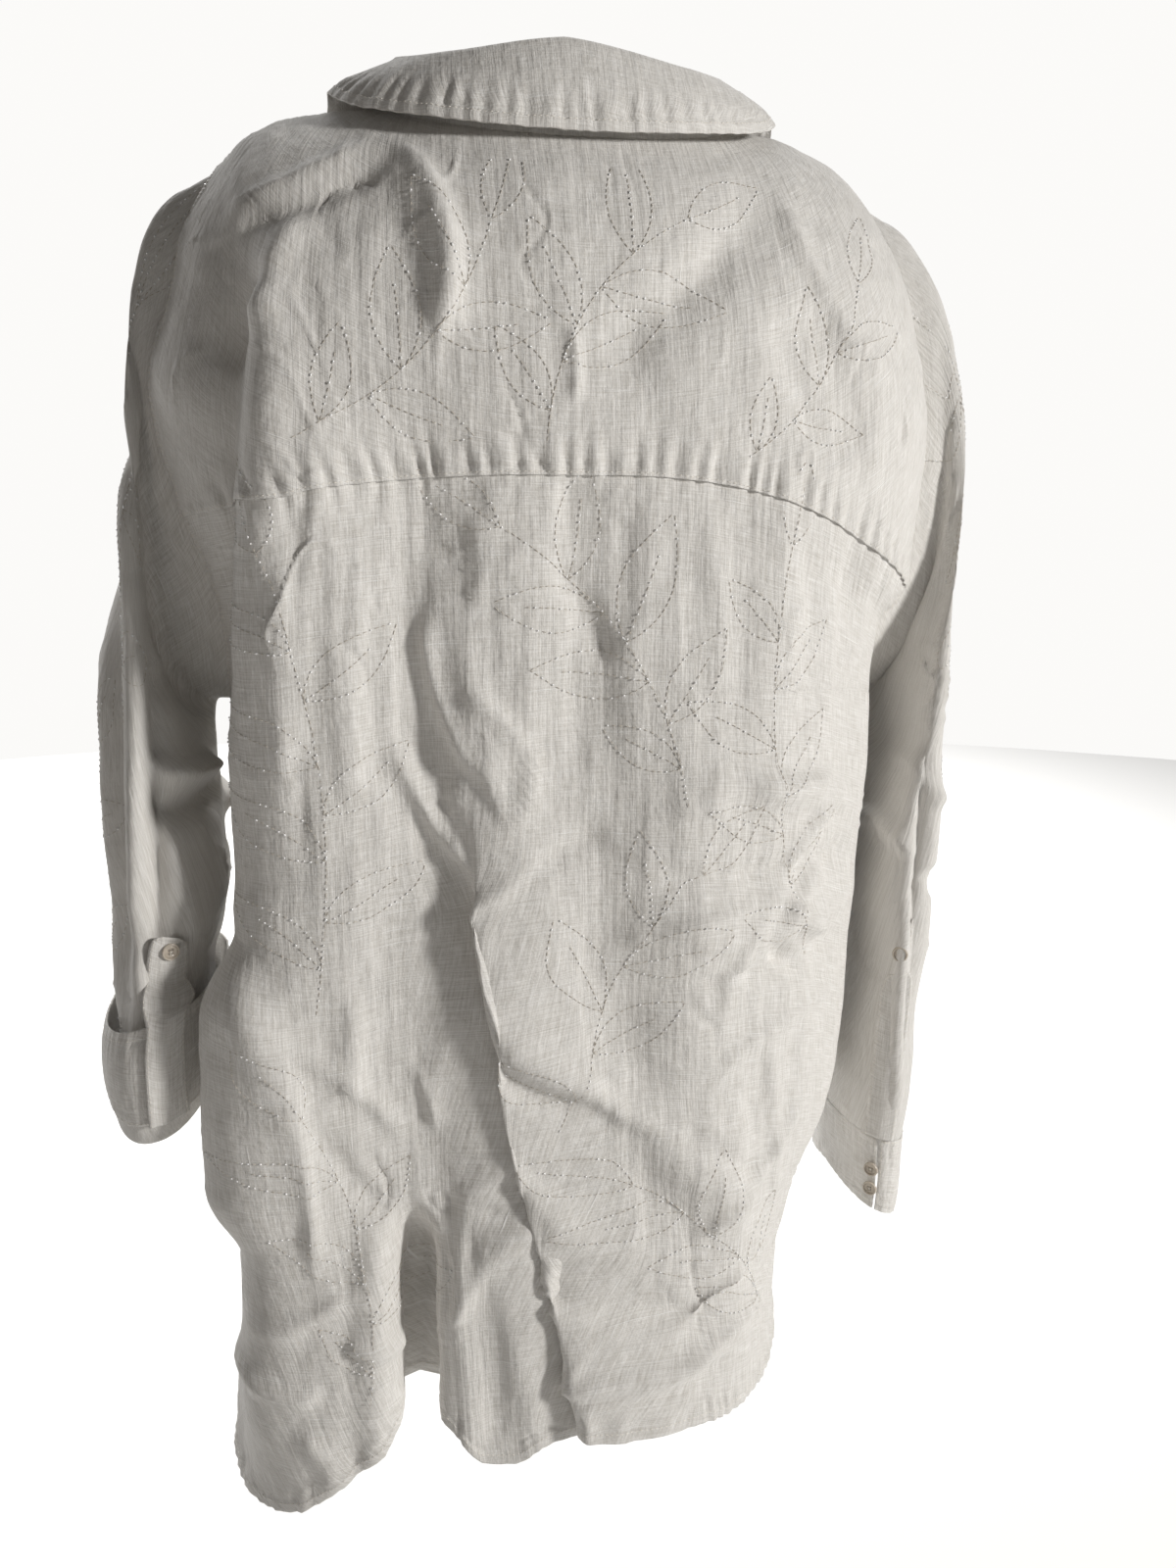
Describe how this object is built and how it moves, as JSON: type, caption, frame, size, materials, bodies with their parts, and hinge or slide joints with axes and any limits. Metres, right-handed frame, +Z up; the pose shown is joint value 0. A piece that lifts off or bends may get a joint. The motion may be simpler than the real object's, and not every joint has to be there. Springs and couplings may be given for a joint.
{
  "type": "blouse",
  "caption": "Loose long-sleeved linen blouse with shirt collar, yoke, button front and a long back hem, kept in its worn shape with neck, hem and cuffs open.",
  "frame": {"origin": "the nape, the middle of the back neck seam, where the garment is held", "axes": "+Z up, -Y to the wearer's front, +X to the wearer's left"},
  "size_m": [0.5582, 0.2572, 0.8859],
  "materials": {
    "cloth": "matte",
    "buttons": "satin"
  },
  "bodies": {
    "root": {"back_yoke": "cloth", "back_panel": "cloth", "front_left": "cloth", "front_right": "cloth", "button_band": "cloth", "buttonhole_band": "cloth", "collar_stand": "cloth", "collar_fall": "cloth", "sleeve_left": "cloth", "sleeve_right": "cloth", "cuff_left": "cloth", "cuff_right": "cloth", "placket_left": "cloth", "placket_right": "cloth", "tab_left": "cloth", "tab_right": "cloth", "button_front_1": "buttons", "button_front_2": "buttons", "button_front_3": "buttons", "button_front_4": "buttons", "button_front_5": "buttons", "button_front_6": "buttons", "button_collar": "buttons", "button_tab_left": "buttons", "button_tab_right": "buttons", "button_cuff_right_1": "buttons", "button_cuff_right_2": "buttons", "button_cuff_left_1": "buttons", "button_cuff_left_2": "buttons"}
  },
  "joints": []
}
